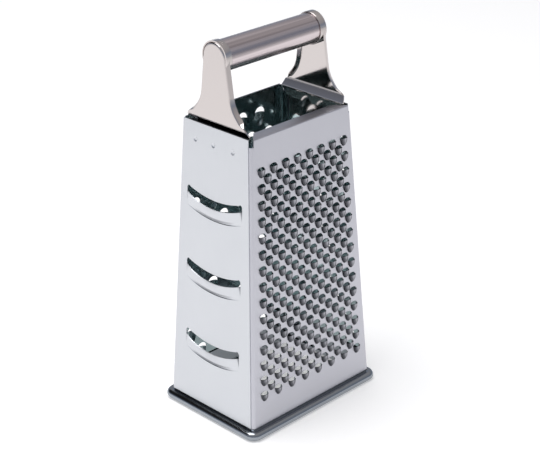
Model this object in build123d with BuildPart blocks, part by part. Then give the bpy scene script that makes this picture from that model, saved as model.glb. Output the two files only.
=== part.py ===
"""Four-sided box grater of folded stainless sheet.

Two wide panels are folded into shallow channels, and two flat narrow panels lap over
their legs. A rolled rim closes the foot, and two pressed ears carry a tube handle.
X runs along the handle, the slicing panel is at -X and the fine panel at -Y. The
origin is on the ground, under the middle of the body. Lengths are in millimetres.
"""

import os
from math import atan2, cos, sin, sqrt

from build123d import *

# Body, measured on the outside of the walls at their lower and upper edges
body_height = 181.0
base_width = 103.4
base_depth = 74.0
top_width = 82.4
top_depth = 57.9
sheet = 0.5
corner_radius = 2.0
leg_width = 4.0
leg_relief = 4.5
top_flange = 8.0
lap_margin = 2.1
back_hem = 1.2

# Rolled rim under the walls
bead_diameter = 5.7
bead_drop = 4.1
rim_sheet = 0.6
rim_leg = 12.0
rim_clearance = 0.08
foot_flat = 0.05

# Fine teeth of the front panel, in a fanned and staggered grid
fine_columns = 8
fine_rows = 15
fine_top = 162.0
fine_bottom = 20.5
fine_spread_share = 0.807
fine_width = 5.6
fine_lift = 2.0
fine_drop = 5.2
fine_mouth = 1.6
fine_wall = 0.45
fine_throat_shares = ((1, 1),)

# Coarse teeth of the back panel
coarse_columns = 5
coarse_rows = 6
coarse_top = 165.6
coarse_bottom = 17.6
coarse_spread_share = 0.70
coarse_width = 8.4
coarse_lift = 2.3
coarse_drop = 8.6
coarse_mouth = 4.4
coarse_wall = 0.55
coarse_throat_shares = ((1, 0), (0.6, 1))

# Half outlines of the teeth's arches and of the hollows under them, in shares of
# their half width and their lift
arch_shares = ((1, 0), (0.55, 1))
hollow_shares = ((1, 0), (0, 1))

# Burrs of the zesting panel, small pyramids punched outward
burr_columns = 5
burr_rows = 7
burr_top = 158.0
burr_bottom = 22.0
burr_spread_share = 0.66
burr_width = 4.0
burr_hole = 2.2
burr_lift = 1.0
burr_wall = 0.35
burr_sides = 3

# Slicing lips, each a raised blade along an arc that sags in its middle
slot_count = 3
slot_middle = 85.6
slot_pitch = 46.9
slot_half_width = 23.4
slot_sag = 4.3
slot_gap = 4.2
lip_height = 7.9
lip_lift = 3.0
lip_sheet = 0.4
lip_root = 0.8
lip_sink = 0.05
lip_across_shares = (-1.06, -0.8, -0.4, 0.0, 0.4, 0.8, 1.06)
lip_lift_shares = (0.0, 0.72, 0.97, 1.0, 0.97, 0.72, 0.0)

# Handle tube with a plug in each end
tube_diameter = 18.5
tube_wall = 0.8
tube_rise = 42.0
tube_clearance = 0.05
plug_depth = 3.0

# Ears, pressed from thicker sheet, measured from the top edge of the walls
ear_sheet = 0.8
ear_face = 40.8
ear_edge_round = 1.6
ear_rim_depth = 2.8
ear_collar_depth = 5.2
ear_waist_half = 13.85
ear_waist_height = 15.7
ear_waist_radius = 18.0
ear_hip_half = 25.6
ear_hip_height = 2.4
ear_flange_margin = 0.4
ear_flange_neck = 3.5
ear_flange_depth = 18.0
swage_top = 3.6
swage_low = 1.0
swage_depth = 2.2
swage_return = 7.0
swage_radius = 1.2
flange_clearance = 0.02

# One overrun serves all cuts
overrun = 1.0

rim_height = bead_drop + bead_diameter / 2
width_taper = (base_width - top_width) / 2 / body_height
depth_taper = (base_depth - top_depth) / 2 / body_height
width_tilt = atan2((base_width - top_width) / 2, body_height)
depth_tilt = atan2((base_depth - top_depth) / 2, body_height)
wall_top = rim_height + body_height
lap = sheet / cos(width_tilt)
tube_axis = wall_top + tube_rise
head_radius = tube_diameter / 2 + tube_clearance + ear_sheet


def half_width(height):
    """Half the body's outside width at a height above the walls' lower edge."""
    return base_width / 2 - width_taper * height


def half_depth(height):
    """Half the body's outside depth at a height above the walls' lower edge."""
    return base_depth / 2 - depth_taper * height


def wall_plane(side, across, height):
    """A plane on a wall's outer face: x runs across it, y up it and z out of it."""
    if side in ("front", "back"):
        out = -1 if side == "front" else 1
        origin = (-out * across, out * half_depth(height), rim_height + height)
        outward = (0, out * cos(depth_tilt), sin(depth_tilt))
        return Plane(origin=origin, x_dir=(-out, 0, 0), z_dir=outward)
    out = -1 if side == "left" else 1
    origin = (out * half_width(height), out * across, rim_height + height)
    outward = (out * cos(width_tilt), 0, sin(width_tilt))
    return Plane(origin=origin, x_dir=(0, out, 0), z_dir=outward)


def fanned_places(side, columns, rows, top, bottom, spread_share, short_first=False):
    """Planes of a staggered grid that widens with the wall: long rows, with short ones between."""
    reach = half_width if side in ("front", "back") else half_depth
    places = []
    row_total = 2 * rows - 1
    for row in range(row_total):
        height = top - (top - bottom) * row / (row_total - 1)
        is_short = (row % 2 == 0) == short_first
        count = columns - 1 if is_short else columns
        pitch = 2 * reach(height) * spread_share / (columns - 1)
        for column in range(count):
            across = (column - (count - 1) / 2) * pitch
            places.append(wall_plane(side, across, height))
    return places


def channel_section(height):
    """Section of a wide panel at one height: the face, two bends and two short legs."""
    a = half_width(height) - lap
    b = half_depth(height)
    leg = b - corner_radius - leg_width
    with BuildSketch(Plane.XY.offset(rim_height + height)) as section:
        with BuildLine():
            Polyline(
                (-a, -leg), (-a, -b), (a, -b), (a, -leg),
                (a - sheet, -leg), (a - sheet, sheet - b), (sheet - a, sheet - b), (sheet - a, -leg),
                close=True,
            )
        make_face()
        fillet(section.vertices().group_by(Axis.Y)[0], corner_radius)
        fillet(section.vertices().group_by(Axis.Y)[1], corner_radius - sheet)
    return section.sketch


def tooth_shapes(width, lift, drop, mouth, wall, throat_shares):
    """The hood of one raised tooth, and the cut that opens its mouth and the sheet."""
    half = width / 2
    inner = half - wall
    inner_lift = lift - wall
    inner_drop = drop - wall * drop / half
    root = -sheet / 2
    arch = [(x * half, 0, z * lift) for x, z in arch_shares]
    x_share, y_share = throat_shares[0]
    neck = inner * x_share * inner_drop / (inner_drop + mouth * y_share)
    hollow = [(x * neck, y, z * inner_lift) for x, z in hollow_shares for y in (0, wall)]
    throat = [(x * inner, y * mouth) for x, y in throat_shares]
    with BuildPart() as hood:
        ConvexPolyhedron(mirrored(arch + [(half, 0, root), (0, -drop, root)]))
    with BuildPart() as cut:
        ConvexPolyhedron(mirrored(hollow + [(0, -inner_drop, 0)]))
        ConvexPolyhedron(
            mirrored([(x, y, z) for x, y in throat + [(0, -inner_drop)] for z in (0, -sheet - overrun)])
        )
    return hood.part, cut.part


def mirrored(points):
    """The points of one half of a symmetric shape, and those of the other half."""
    return points + [(-x, y, z) for x, y, z in points if x > 0]


def add_teeth(places, hood, cut):
    """Fuse a hood at each place, then open all the mouths."""
    with Locations(*places):
        add(hood, clean=False)
    with Locations(*places):
        add(cut, mode=Mode.SUBTRACT, clean=False)


def corner_reliefs():
    """Notches that end the bends and legs of a wide panel below its top edge."""
    reach = half_width(body_height) - lap
    top = wall_top - leg_relief
    with Locations((reach, 0, top), (-reach, 0, top)):
        Box(
            2 * corner_radius, base_depth, leg_relief + overrun,
            align=(Align.CENTER, Align.CENTER, Align.MIN), mode=Mode.SUBTRACT,
        )


def channel(top_edge):
    """A wide panel's folded sheet, with the given width of top edge turned inward."""
    loft(sections=[channel_section(0), channel_section(body_height)], ruled=True)
    side = half_depth(body_height)
    reach = half_width(body_height) - lap - corner_radius
    with BuildSketch(Plane.XY.offset(wall_top)) as flange:
        with BuildLine():
            Polyline(
                (-reach, -side), (reach, -side),
                (reach - top_edge, top_edge - side), (top_edge - reach, top_edge - side),
                close=True,
            )
        make_face()
    extrude(flange.sketch, amount=-sheet)
    corner_reliefs()


with BuildPart() as front_grating_panel:
    channel(top_flange)
    add_teeth(
        fanned_places("front", fine_columns, fine_rows, fine_top, fine_bottom, fine_spread_share),
        *tooth_shapes(
            fine_width, fine_lift, fine_drop, fine_mouth, fine_wall, fine_throat_shares
        ),
    )

with BuildPart() as back_grating_panel:
    channel(back_hem)
    mirror(about=Plane.XZ, mode=Mode.REPLACE)
    add_teeth(
        fanned_places(
            "back", coarse_columns, coarse_rows, coarse_top, coarse_bottom, coarse_spread_share,
            short_first=True,
        ),
        *tooth_shapes(
            coarse_width, coarse_lift, coarse_drop, coarse_mouth, coarse_wall, coarse_throat_shares
        ),
    )


def narrow_blank(side):
    """The flat sheet of a narrow panel, lying on the legs of the wide ones."""
    slant = body_height / cos(width_tilt)
    low = base_depth / 2 - lap_margin
    high = top_depth / 2 - lap_margin
    with BuildSketch(wall_plane(side, 0, 0)) as blank:
        with BuildLine():
            Polyline((-low, 0), (low, 0), (high, slant), (-high, slant), close=True)
        make_face()
    extrude(blank.sketch, amount=-sheet)


def burr_shapes():
    """One punched burr of the zesting panel, and the hole through it."""
    with BuildPart() as burr:
        with BuildSketch(Plane.XY.offset(-sheet / 2)):
            RegularPolygon(burr_width / 2, burr_sides)
        with BuildSketch(Plane.XY.offset(burr_lift)):
            RegularPolygon(burr_hole / 2 + burr_wall, burr_sides)
        loft(ruled=True)
    with BuildPart() as hole:
        with BuildSketch(Plane.XY.offset(burr_lift + overrun)):
            RegularPolygon(burr_hole / 2, burr_sides)
        extrude(amount=-burr_lift - sheet - 2 * overrun)
    return burr.part, hole.part


with BuildPart() as right_zesting_panel:
    narrow_blank("right")
    add_teeth(
        fanned_places("right", burr_columns, burr_rows, burr_top, burr_bottom, burr_spread_share),
        *burr_shapes(),
    )


slot_radius = (slot_half_width**2 + slot_sag**2) / (2 * slot_sag)


def slot_rise(across):
    """Height of a slot's arc over its middle, at a distance across the wall."""
    return slot_radius - sqrt(slot_radius**2 - across**2)


def slot_opening(wall):
    """The curved opening of one slot and of the blade turned out of it."""
    high = slot_sag + slot_gap
    low = slot_sag - lip_height
    with BuildSketch(wall) as opening:
        with BuildLine():
            high_arc = ThreePointArc((-slot_half_width, high), (0, slot_gap), (slot_half_width, high))
            low_arc = ThreePointArc((slot_half_width, low), (0, -lip_height), (-slot_half_width, low))
            Line(high_arc @ 1, low_arc @ 0)
            Line(low_arc @ 1, high_arc @ 0)
        make_face()
    return opening.sketch


def lip_section(wall, across, lift):
    """Section of a slicing lip at a distance across the wall: its root, then its blade."""
    place = wall.origin + wall.x_dir * across + wall.y_dir * slot_rise(across)
    with BuildSketch(Plane(origin=place, x_dir=wall.y_dir, z_dir=wall.x_dir)) as section:
        with BuildLine():
            Polyline(
                (-lip_height - lip_root, -lip_sink), (0, lift),
                (0, lift - lip_sheet), (-lip_height - lip_root, -lip_sink - lip_sheet),
                close=True,
            )
        make_face()
    return section.sketch


with BuildPart() as left_slicing_panel:
    narrow_blank("left")
    for index in range(slot_count):
        middle = slot_middle + (index - (slot_count - 1) / 2) * slot_pitch
        wall = wall_plane("left", 0, middle)
        extrude(slot_opening(wall), amount=-sheet, mode=Mode.SUBTRACT)
        loft(
            sections=[
                lip_section(wall, across_share * slot_half_width, lift_share * lip_lift)
                for across_share, lift_share in zip(lip_across_shares, lip_lift_shares)
            ]
        )


hip_slope = (ear_hip_half - ear_waist_half) / (ear_waist_height - ear_hip_height)


def ear_outline(plane, inset):
    """The ear's outline above its swage, drawn in by an inset."""
    head = head_radius - inset
    waist = ear_waist_half - inset
    waist_height = wall_top + ear_waist_height
    foot_height = wall_top + swage_top
    foot = waist + hip_slope * (waist_height - foot_height)
    with BuildSketch(plane) as outline:
        with BuildLine():
            CenterArc((0, tube_axis), head, 0, 360)
            Line((-waist, waist_height), (waist, waist_height))
        make_hull()
        with BuildLine():
            Polyline(
                (-waist, waist_height), (waist, waist_height), (foot, foot_height), (-foot, foot_height),
                close=True,
            )
        make_face()
        fillet(outline.vertices().group_by(Axis.Y)[1], ear_waist_radius)
    return outline.sketch


def ear_flange_outline():
    """The ear's lower outline: its hips above the walls, then its flange between the legs."""
    flange_half = half_depth(body_height) - corner_radius - leg_width - ear_flange_margin
    top_height = swage_top + ear_sheet
    top = ear_waist_half + hip_slope * (ear_waist_height - top_height)
    with BuildSketch(Plane.YZ) as outline:
        with BuildLine():
            right = Polyline(
                (0, wall_top + top_height), (top, wall_top + top_height),
                (ear_hip_half, wall_top + ear_hip_height), (ear_hip_half, wall_top),
                (flange_half, wall_top - ear_flange_neck),
                (flange_half, wall_top - ear_flange_depth), (0, wall_top - ear_flange_depth),
            )
            mirror(right, about=Plane.YZ)
        make_face()
    return outline.sketch


def inner_wall(depth):
    """Distance from the middle to a narrow panel's inner face, below the walls' top edge."""
    return half_width(body_height - depth) - lap


def pressed_ear():
    """The ear above its swage: a plate with a turned-in rim, and a collar round the tube."""
    face = Plane.YZ.offset(-ear_face)
    inside = Plane.YZ.offset(ear_sheet - ear_face)
    with BuildPart() as pressed:
        extrude(ear_outline(face, 0), amount=ear_rim_depth)
        outer_edges = pressed.faces().sort_by(Axis.X)[0].edges()
        fillet(outer_edges - outer_edges.group_by(Axis.Z)[0], ear_edge_round)
        with BuildSketch(inside):
            add(ear_outline(Plane.XY, ear_sheet))
            with Locations((0, tube_axis)):
                Circle(head_radius, mode=Mode.SUBTRACT)
        extrude(amount=ear_rim_depth, mode=Mode.SUBTRACT)
        with BuildSketch(inside):
            with Locations((0, tube_axis)):
                Circle(head_radius - ear_sheet)
        extrude(amount=ear_rim_depth, mode=Mode.SUBTRACT)
        with BuildSketch(face.offset(ear_rim_depth)):
            with Locations((0, tube_axis)):
                Circle(head_radius)
                Circle(head_radius - ear_sheet, mode=Mode.SUBTRACT)
        extrude(amount=ear_collar_depth - ear_rim_depth)
    return pressed.part


pressed = pressed_ear()
with BuildPart() as left_ear_bracket:
    with BuildSketch(Plane.XZ) as bend:
        with BuildLine() as middle:
            FilletPolyline(
                (ear_sheet / 2 - ear_face, wall_top + swage_top + ear_sheet),
                (ear_sheet / 2 - ear_face, wall_top + swage_top),
                (ear_sheet / 2 - ear_face + swage_depth, wall_top - swage_low),
                (ear_sheet / 2 + flange_clearance - inner_wall(swage_return), wall_top - swage_return),
                (ear_sheet / 2 + flange_clearance - inner_wall(ear_flange_depth), wall_top - ear_flange_depth),
                radius=swage_radius,
            )
        trace(line_width=ear_sheet)
    extrude(amount=base_depth / 2, both=True)
    extrude(ear_flange_outline(), amount=base_width, both=True, mode=Mode.INTERSECT)
    add(pressed)

with BuildPart() as right_ear_bracket:
    add(left_ear_bracket.part)
    mirror(about=Plane.YZ, mode=Mode.REPLACE)

tube_half = ear_face - ear_sheet - tube_clearance
with BuildPart() as handle_tube:
    with BuildSketch(Plane.YZ):
        with Locations((0, tube_axis)):
            Circle(tube_diameter / 2)
            Circle(tube_diameter / 2 - tube_wall, mode=Mode.SUBTRACT)
    extrude(amount=tube_half, both=True)

with BuildPart() as left_tube_plug:
    with BuildSketch(Plane.YZ.offset(-tube_half)):
        with Locations((0, tube_axis)):
            Circle(tube_diameter / 2 - tube_wall - tube_clearance)
    extrude(amount=plug_depth)

with BuildPart() as right_tube_plug:
    add(left_tube_plug.part)
    mirror(about=Plane.YZ, mode=Mode.REPLACE)

rim_half_width = half_width(0) - lap - sheet - rim_clearance
rim_half_depth = half_depth(0) - sheet - rim_clearance
rim_corner = corner_radius - sheet + width_taper * rim_leg
with BuildPart() as base_rim:
    with BuildLine() as path:
        for turn in (1, -1):
            FilletPolyline(
                (0, -turn * rim_half_depth), (turn * rim_half_width, -turn * rim_half_depth),
                (turn * rim_half_width, turn * rim_half_depth), (0, turn * rim_half_depth),
                radius=rim_corner,
            )
    with BuildSketch(Plane(origin=(0, -rim_half_depth, 0), x_dir=(0, -1, 0), z_dir=(-1, 0, 0))) as roll:
        with Locations((bead_diameter / 2 - rim_sheet, bead_diameter / 2 - foot_flat)):
            Circle(bead_diameter / 2)
        with BuildLine():
            Polyline(
                (0, bead_diameter / 2), (0, rim_height),
                (-width_taper * rim_leg, rim_height + rim_leg),
                (-width_taper * rim_leg - rim_sheet, rim_height + rim_leg),
                (-rim_sheet, rim_height), (-rim_sheet, bead_diameter / 2),
                close=True,
            )
        make_face()
        with Locations((bead_diameter / 2, -bead_diameter / 2)):
            Rectangle(2 * bead_diameter, bead_diameter, mode=Mode.SUBTRACT)
    sweep(path=path.line)

pieces = {
    "front_grating_panel": front_grating_panel,
    "back_grating_panel": back_grating_panel,
    "left_slicing_panel": left_slicing_panel,
    "right_zesting_panel": right_zesting_panel,
    "left_ear_bracket": left_ear_bracket,
    "right_ear_bracket": right_ear_bracket,
    "handle_tube": handle_tube,
    "left_tube_plug": left_tube_plug,
    "right_tube_plug": right_tube_plug,
    "base_rim": base_rim,
}

os.makedirs("parts", exist_ok=True)
for name, piece in pieces.items():
    piece.part.label = name
    export_step(piece.part, f"parts/{name}.step")
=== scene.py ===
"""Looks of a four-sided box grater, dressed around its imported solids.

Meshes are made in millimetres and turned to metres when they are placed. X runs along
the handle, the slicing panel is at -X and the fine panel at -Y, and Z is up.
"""

import logging
from collections.abc import Iterable, Sequence
from dataclasses import dataclass
from enum import Enum
from math import acos, asin, atan2, cos, pi, radians, sin, sqrt, tan

import bmesh
import bpy
from bpy.types import Material, Node, NodeSocket, NodeTree, Object
from mathutils import Matrix, Vector


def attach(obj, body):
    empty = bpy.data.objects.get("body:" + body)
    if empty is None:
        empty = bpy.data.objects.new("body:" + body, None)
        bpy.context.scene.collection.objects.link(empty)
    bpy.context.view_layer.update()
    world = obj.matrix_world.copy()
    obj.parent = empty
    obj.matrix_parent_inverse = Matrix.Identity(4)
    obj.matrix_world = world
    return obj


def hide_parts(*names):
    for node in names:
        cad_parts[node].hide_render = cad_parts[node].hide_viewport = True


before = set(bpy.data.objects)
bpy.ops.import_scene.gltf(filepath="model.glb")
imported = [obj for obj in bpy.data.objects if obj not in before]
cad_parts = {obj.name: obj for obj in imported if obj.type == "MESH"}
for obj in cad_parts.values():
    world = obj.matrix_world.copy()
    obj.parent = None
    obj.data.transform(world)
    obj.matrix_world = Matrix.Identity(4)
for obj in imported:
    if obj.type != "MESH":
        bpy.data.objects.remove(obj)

log = logging.getLogger("box_grater")

Point = tuple[float, float, float]
Line = list[tuple[float, float]]
Mesh = tuple[list[Point], list[tuple[int, ...]]]
Drawings = tuple[Object, Object, Object]
MILLIMETRE = 0.001
MERGE_DISTANCE = 0.004
SHARP_ANGLE = radians(38)
FLAT_MATCH = 0.99996
# Lean over which the painted shade on raised forms grows from none to full.
PAINTED_SHADE_RANGE = 0.08
STREAK_DETAIL = 3.0
CLOUD_DETAIL = 2.0


def linear(code: str) -> tuple[float, float, float, float]:
    """Turn an sRGB hex colour into linear RGBA.

    Args:
        code: six hex digits with a leading hash sign.

    Returns:
        Red, green, blue and an alpha of one.
    """
    channels = [int(code[at : at + 2], 16) / 255 for at in (1, 3, 5)]
    curved = [c / 12.92 if c <= 0.04045 else ((c + 0.055) / 1.055) ** 2.4 for c in channels]
    return (curved[0], curved[1], curved[2], 1.0)


def add_node(tree: NodeTree, kind: str, settings: dict | None = None, inputs: dict | None = None) -> Node:
    """Add one node with its settings and its links or values.

    Args:
        tree: the node tree that gets the node.
        kind: the node's type name.
        settings: attributes of the node.
        inputs: an output socket or a value for each input's name or index.

    Returns:
        The new node.
    """
    node = tree.nodes.new(kind)
    for name, value in (settings or {}).items():
        setattr(node, name, value)
    for name, value in (inputs or {}).items():
        if isinstance(value, NodeSocket):
            tree.links.new(value, node.inputs[name])
        else:
            node.inputs[name].default_value = value
    return node


def reckon(tree: NodeTree, known: dict, steps: Iterable[Sequence]) -> dict:
    """Add a chain of Math nodes.

    Args:
        tree: the node tree that gets the nodes.
        known: sockets by name.
        steps: a name for the result, the operation, then names or numbers for its terms.

    Returns:
        The sockets by name, with the results added.
    """
    for name, operation, *terms in steps:
        inputs = {at: known[term] if isinstance(term, str) else term for at, term in enumerate(terms)}
        known[name] = add_node(tree, "ShaderNodeMath", {"operation": operation}, inputs).outputs[0]
    return known


def angles(start: float, end: float, steps: int) -> list[float]:
    """Angles from start to end in equal steps, with both ends."""
    return [start + (end - start) * step / steps for step in range(steps + 1)]


def mirrored(points: Sequence[Point]) -> list[Point]:
    """The points on the other side of the middle, in reverse order."""
    return [(-x, y, z) for x, y, z in reversed(points)]


def corners(across: float, deep: float) -> list[Point]:
    """Corners of a level rectangle round the origin, anticlockwise from above."""
    return [(across, deep, 0.0), (-across, deep, 0.0), (-across, -deep, 0.0), (across, -deep, 0.0)]


def added(name: str, data: bpy.types.ID) -> Object:
    """Put a new object with its data in the scene.

    Args:
        name: the object's name.
        data: its mesh, lamp or camera.

    Returns:
        The new object.
    """
    item = bpy.data.objects.new(name, data)
    bpy.context.collection.objects.link(item)
    return item


def mesh_object(
    name: str, points: Sequence[Point], faces: Sequence[tuple[int, ...]], edges: Sequence = ()
) -> Object:
    """Make an object from points and faces, or from points and edges.

    Args:
        name: the object's name.
        points: the corners.
        faces: corner numbers of each face.
        edges: corner numbers of each loose edge.

    Returns:
        The new object, linked to the scene.
    """
    mesh = bpy.data.meshes.new(name)
    mesh.from_pydata(points, edges, faces)
    return added(name, mesh)


def loop_object(name: str, *loops: Sequence[Point]) -> Object:
    """Make an object of closed loops of edges.

    Args:
        name: the object's name.
        loops: the corners of each loop in order.

    Returns:
        The new object.
    """
    points: list[Point] = []
    edges: list[tuple[int, int]] = []
    for loop in loops:
        first = len(points)
        points += loop
        edges += [(first + at, first + (at + 1) % len(loop)) for at in range(len(loop))]
    return mesh_object(name, points, (), edges)


def grid(rows: Sequence[Sequence[Point]], closed: bool = False) -> Mesh:
    """Join rows of points into a sheet of quads.

    Args:
        rows: rows of equally many points.
        closed: whether each row's last point joins its first.

    Returns:
        Points and faces.
    """
    width = len(rows[0])
    points = [point for row in rows for point in row]
    faces = []
    for low in range(0, len(points) - width, width):
        for at in range(width if closed else width - 1):
            after = (at + 1) % width
            faces.append((low + at, low + after, low + width + after, low + width + at))
    return points, faces


def joined(*parts: Mesh) -> Mesh:
    """Put several meshes in one list of points and faces.

    Args:
        parts: points and faces of each mesh.

    Returns:
        Points and faces.
    """
    points: list[Point] = []
    faces: list[tuple[int, ...]] = []
    for part_points, part_faces in parts:
        first = len(points)
        points += part_points
        faces += [tuple(first + corner for corner in face) for face in part_faces]
    return points, faces


def rounded(line: Sequence[Sequence[float]], radius: float, steps: int) -> Line:
    """Round the inner corners of a flat open line.

    Args:
        line: its corners in order.
        radius: the corners' radius.
        steps: spans of each corner's arc.

    Returns:
        Points along the rounded line.
    """
    knots = [Vector(point) for point in line]
    points = [tuple(knots[0])]
    for before, corner, after in zip(knots, knots[1:], knots[2:]):
        back, on = (before - corner).normalized(), (after - corner).normalized()
        half = back.angle(on) / 2
        middle = corner + (back + on).normalized() * (radius / sin(half))
        start = corner + back * (radius / tan(half)) - middle
        end = corner + on * (radius / tan(half)) - middle
        for step in range(steps + 1):
            spoke = start.lerp(end, step / steps).normalized() * radius
            points.append(tuple(middle + spoke))
    points.append(tuple(knots[-1]))
    return points


def turned(section: Line, height: float, steps: int) -> Mesh:
    """Turn a closed section round a level axis along X.

    Args:
        section: points as place along the axis and radius.
        height: the axis's height.
        steps: spans round the axis.

    Returns:
        Points and faces.
    """
    turns = angles(0, 2 * pi, steps)[:-1]
    rows = [
        [(along, radius * cos(turn), height + radius * sin(turn)) for turn in turns]
        for along, radius in (*section, section[0])
    ]
    return grid(rows, closed=True)


def baked(item: Object, name: str) -> Object:
    """Turn an object with its modifiers into a plain mesh object, and delete the first.

    Args:
        item: the object with modifiers.
        name: the new object's name.

    Returns:
        The plain object.
    """
    graph = bpy.context.evaluated_depsgraph_get()
    mesh = bpy.data.meshes.new_from_object(item.evaluated_get(graph))
    bpy.data.objects.remove(item)
    mesh.name = name
    return added(name, mesh)


def absorb(item: Object, other: Object) -> None:
    """Add another object's mesh to an object's own, and delete the other.

    Args:
        item: the object that is kept.
        other: the object whose mesh is added.
    """
    merged = bmesh.new()
    for part in (item, other):
        merged.from_mesh(part.data)
    merged.to_mesh(item.data)
    merged.free()
    bpy.data.objects.remove(other)


def tidy(item: Object, outward: Vector | None = None) -> None:
    """Merge a mesh's doubles and turn its faces one way.

    Args:
        item: the mesh object.
        outward: for an open sheet, the direction that its widest face looks in.
    """
    cleaned = bmesh.new()
    cleaned.from_mesh(item.data)
    bmesh.ops.remove_doubles(cleaned, verts=cleaned.verts, dist=MERGE_DISTANCE)
    bmesh.ops.dissolve_degenerate(cleaned, edges=cleaned.edges, dist=MERGE_DISTANCE / 10)
    bmesh.ops.recalc_face_normals(cleaned, faces=cleaned.faces)
    if outward is not None:
        widest = max(cleaned.faces, key=lambda face: face.calc_area())
        if widest.normal.dot(outward) < 0:
            bmesh.ops.reverse_faces(cleaned, faces=cleaned.faces)
    cleaned.to_mesh(item.data)
    cleaned.free()


def shade(item: Object, flat: Vector | None = None) -> None:
    """Shade a mesh smooth, but for sharp edges and plane faces.

    Args:
        item: the mesh object.
        flat: the normal of its plane faces.
    """
    shaded = bmesh.new()
    shaded.from_mesh(item.data)
    for face in shaded.faces:
        face.smooth = flat is None or abs(face.normal.dot(flat)) <= FLAT_MATCH
    for edge in shaded.edges:
        edge.smooth = len(edge.link_faces) == 2 and edge.calc_face_angle(0.0) < SHARP_ANGLE
    shaded.to_mesh(item.data)
    shaded.free()


def place(item: Object, matrix: Matrix = Matrix.Identity(4)) -> None:
    """Move a mesh made in millimetres to its place in metres."""
    item.data.transform(Matrix.Scale(MILLIMETRE, 4) @ matrix)


def dress(item: Object, finishes: Sequence[Material], slot: str, *nodes: str) -> None:
    """Give a finished piece its materials and body, and hide the nodes it stands for.

    Args:
        item: the finished piece.
        finishes: its outer finish, and that of its inner side where it has one.
        slot: the record's material slot; not used.
        nodes: the nodes that it replaces.
    """
    inner = [face.material_index > 0 and len(finishes) > 1 for face in item.data.polygons]
    item.data.materials.clear()
    for finish in finishes:
        item.data.materials.append(finish)
    item.data.polygons.foreach_set("material_index", [int(side) for side in inner])
    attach(item, "root")
    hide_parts(*nodes)
    log.info("%s: %d faces", item.name, len(item.data.polygons))


class Side(Enum):
    """A wall of the body, by the direction that it faces."""

    FRONT = (0.0, -1.0)
    BACK = (0.0, 1.0)
    LEFT = (-1.0, 0.0)
    RIGHT = (1.0, 0.0)

    @property
    def wide(self) -> bool:
        """Whether it is one of the two wide walls."""
        return self in (Side.FRONT, Side.BACK)


@dataclass(frozen=True)
class Body:
    """Sizes that the four walls share."""

    height: float = 181.0
    base_width: float = 103.4
    base_depth: float = 74.0
    top_width: float = 82.4
    top_depth: float = 57.9
    sheet: float = 0.5
    foot: float = 6.95
    corner_radius: float = 2.0
    leg_width: float = 4.0
    leg_relief: float = 4.5
    lap_margin: float = 2.1

    @property
    def width_taper(self) -> float:
        """How fast half the width falls with height."""
        return (self.base_width - self.top_width) / 2 / self.height

    @property
    def depth_taper(self) -> float:
        """How fast half the depth falls with height."""
        return (self.base_depth - self.top_depth) / 2 / self.height

    @property
    def top(self) -> float:
        """Height of the walls' top edge over the ground."""
        return self.foot + self.height

    @property
    def lap(self) -> float:
        """Room that a narrow panel takes on the wide ones' legs."""
        return self.sheet / cos(self.tilt(Side.LEFT))

    def half_width(self, height: float) -> float:
        """Half the outside width at a height over the walls' lower edge."""
        return self.base_width / 2 - self.width_taper * height

    def half_depth(self, height: float) -> float:
        """Half the outside depth at a height over the walls' lower edge."""
        return self.base_depth / 2 - self.depth_taper * height

    def tilt(self, side: Side) -> float:
        """A wall's lean from upright, in radians."""
        return atan2(self.depth_taper if side.wide else self.width_taper, 1)

    def wall(self, side: Side) -> Matrix:
        """Find where a wall stands.

        Args:
            side: the wall.

        Returns:
            Matrix from the wall's own axes, across, up and out, to the grater's.
        """
        level = Vector((side.value[0], side.value[1], 0))
        tilt = self.tilt(side)
        across = Vector((0, 0, 1)).cross(level)
        out = level * cos(tilt) + Vector((0, 0, sin(tilt)))
        up = Vector((0, 0, cos(tilt))) - level * sin(tilt)
        reach = self.half_depth(0) if side.wide else self.half_width(0)
        origin = level * reach + Vector((0, 0, self.foot))
        return Matrix.Translation(origin) @ Matrix((across, up, out)).transposed().to_4x4()

    def narrow_outline(self, side: Side) -> list[Point]:
        """Draw a narrow panel's flat blank.

        Args:
            side: the panel's wall.

        Returns:
            Its corners in the wall's own axes.
        """
        slant = self.height / cos(self.tilt(side))
        low = self.base_depth / 2 - self.lap_margin
        high = self.top_depth / 2 - self.lap_margin
        return [(-low, 0.0, 0.0), (low, 0.0, 0.0), (high, slant, 0.0), (-high, slant, 0.0)]


@dataclass(frozen=True)
class Spread:
    """A staggered grid of punchings that widens with its wall."""

    columns: int
    rows: int
    top: float
    bottom: float
    share: float = 0.0
    stagger: int = 1
    short_first: int = 0


def start_tree(name: str, kinds: Iterable[tuple[str, str]]) -> tuple[NodeTree, dict]:
    """Start a geometry tree.

    Args:
        name: the tree's name.
        kinds: the name and socket type of each input.

    Returns:
        The tree, and its inputs' sockets by name.
    """
    tree = bpy.data.node_groups.new(name, "GeometryNodeTree")
    tree.interface.new_socket("Geometry", in_out="OUTPUT", socket_type="NodeSocketGeometry")
    for label, kind in kinds:
        tree.interface.new_socket(label, in_out="INPUT", socket_type=f"NodeSocket{kind}")
    given = add_node(tree, "NodeGroupInput").outputs
    return tree, {label: given[label] for label, kind in kinds}


def shape_of(tree: NodeTree, drawing: NodeSocket) -> NodeSocket:
    """The shape of a drawing that a tree is given."""
    return add_node(tree, "GeometryNodeObjectInfo", None, {"Object": drawing}).outputs["Geometry"]


def end_tree(tree: NodeTree, shape: NodeSocket, finish: NodeSocket) -> None:
    """End a geometry tree: its shape is made real, gets its material and goes out.

    Args:
        tree: the tree.
        shape: the finished shape.
        finish: the material.
    """
    real = add_node(tree, "GeometryNodeRealizeInstances", None, {"Geometry": shape}).outputs[0]
    inputs = {"Geometry": real, "Material": finish}
    dressed = add_node(tree, "GeometryNodeSetMaterial", None, inputs).outputs[0]
    add_node(tree, "NodeGroupOutput", None, {0: dressed})


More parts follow.
